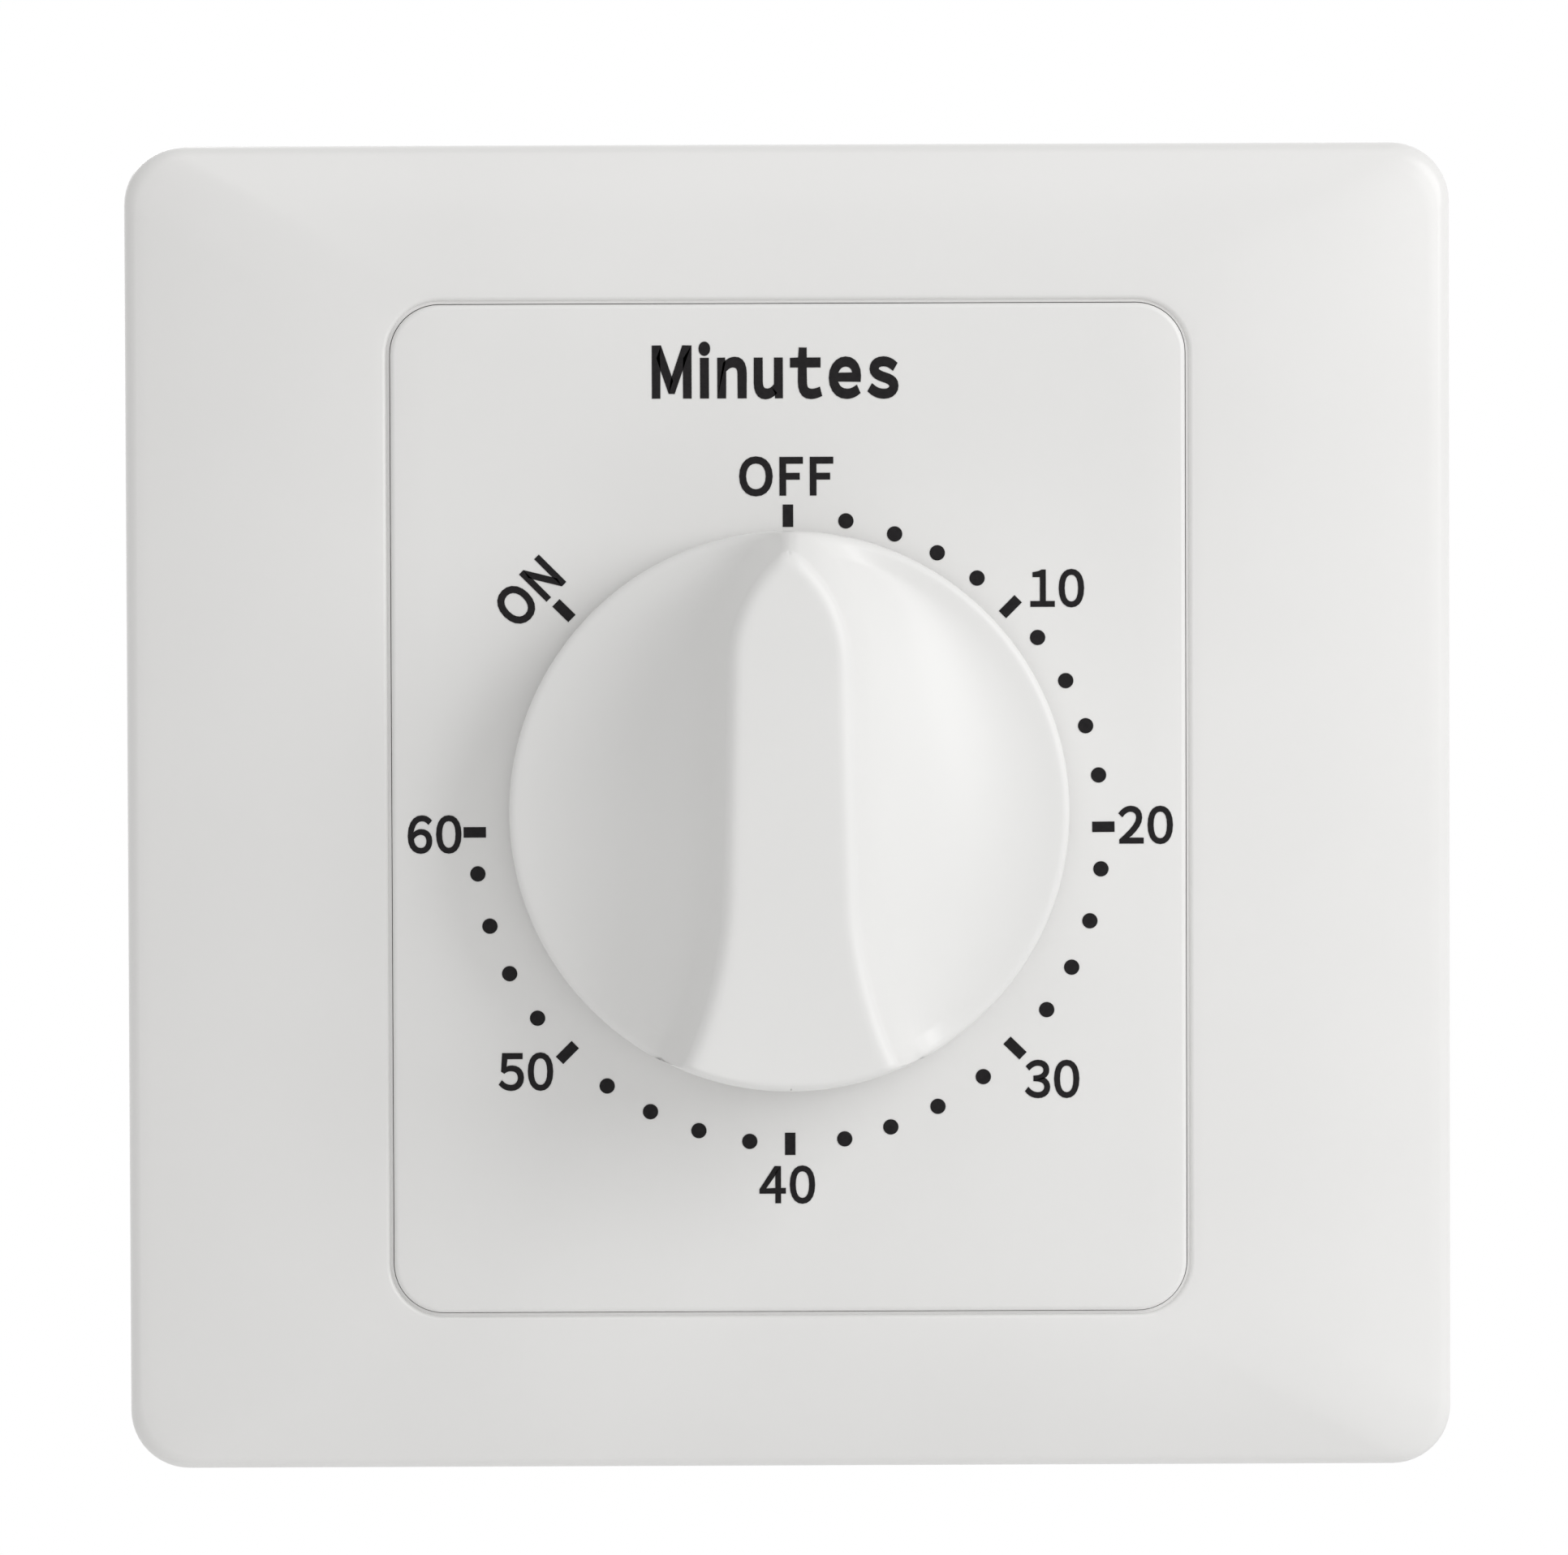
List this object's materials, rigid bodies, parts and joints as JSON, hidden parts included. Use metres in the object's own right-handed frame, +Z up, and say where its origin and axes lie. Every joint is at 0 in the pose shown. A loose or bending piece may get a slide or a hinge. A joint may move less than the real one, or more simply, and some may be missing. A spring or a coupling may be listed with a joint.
{
  "type": "timer light switch",
  "caption": "Square wall plate with a round timer knob: turning the gripped knob winds a clockwork train, and a cam on its shaft opens the contacts when it has run back.",
  "frame": {"origin": "on the knob's axis, in the plane of the wall at the back of the surround", "axes": "+X right, +Y into the wall, +Z up; the knob and all arbors turn about +Y, positive clockwise as seen from the front"},
  "size_m": [0.086, 0.0544, 0.086],
  "materials": {
    "white_gloss": "gloss",
    "knob_white": "satin",
    "base_white": "matte",
    "cover_clear": "clear plastic",
    "block_dark": "matte",
    "steel": "satin",
    "plate_steel": "zinc plated",
    "brass": "satin",
    "cam_white": "matte"
  },
  "bodies": {
    "case": {"surround_frame": "white_gloss", "centre_panel": "white_gloss", "mounting_plate": "base_white", "movement_bush": "brass", "bush_nut": "brass", "front_movement_plate": "plate_steel", "rear_movement_plate": "plate_steel", "pillars": "steel", "pillar_screws": "steel", "mainspring": "steel", "spring_post": "steel", "stop_pin": "steel", "contact_leaf": "brass", "fixed_contact": "brass", "contact_rivets": "brass", "contact_block": "block_dark", "block_screws": "steel", "terminal_clamps": "brass", "terminal_screws": "steel", "rear_cover": "cover_clear", "cover_screws": "steel"},
    "knob_shaft": {"knob": "knob_white", "knob_spring_clip": "steel", "main_shaft": "steel", "clutch_washer": "steel", "stop_disc": "steel", "main_wheel": "brass", "switch_cam": "cam_white"},
    "second_arbor": {"second_pinion": "steel", "second_wheel": "brass"},
    "third_arbor": {"third_pinion": "steel", "third_wheel": "brass"},
    "escape_arbor": {"escape_pinion": "steel", "escape_wheel": "brass"},
    "rocker": {"rocker_arbor": "steel", "rocker_lever": "brass", "pallet_pins": "steel", "balance_bar": "plate_steel"}
  },
  "joints": [
    {"name": "knob_turn", "type": "hinge", "parent": "case", "child": "knob_shaft", "pos_m": [0, 0, 0], "axis": [0, 1, 0], "range_deg": [-45, 270], "deforming": ["mainspring", "contact_leaf"]},
    {"name": "second_turn", "type": "hinge", "parent": "case", "child": "second_arbor", "pos_m": [-0.01002, 0, 0.01174], "axis": [0, 1, 0], "range_deg": [-1621, 271]},
    {"name": "third_turn", "type": "hinge", "parent": "case", "child": "third_arbor", "pos_m": [0.0013, 0, 0.01702], "axis": [0, 1, 0], "range_deg": [-1621, 9721]},
    {"name": "escape_turn", "type": "hinge", "parent": "case", "child": "escape_arbor", "pos_m": [0.0114, 0, 0.01231], "axis": [0, 1, 0], "range_deg": [-58321, 9721]},
    {"name": "rocker_swing", "type": "hinge", "parent": "case", "child": "rocker", "pos_m": [0.01855, 0, 0.01039], "axis": [0, 1, 0], "range_deg": [-7, 7]}
  ],
  "couplings": [
    {"joint": "second_turn", "follows": "knob_turn", "ratio": -6},
    {"joint": "third_turn", "follows": "knob_turn", "ratio": 36},
    {"joint": "escape_turn", "follows": "knob_turn", "ratio": -216}
  ]
}
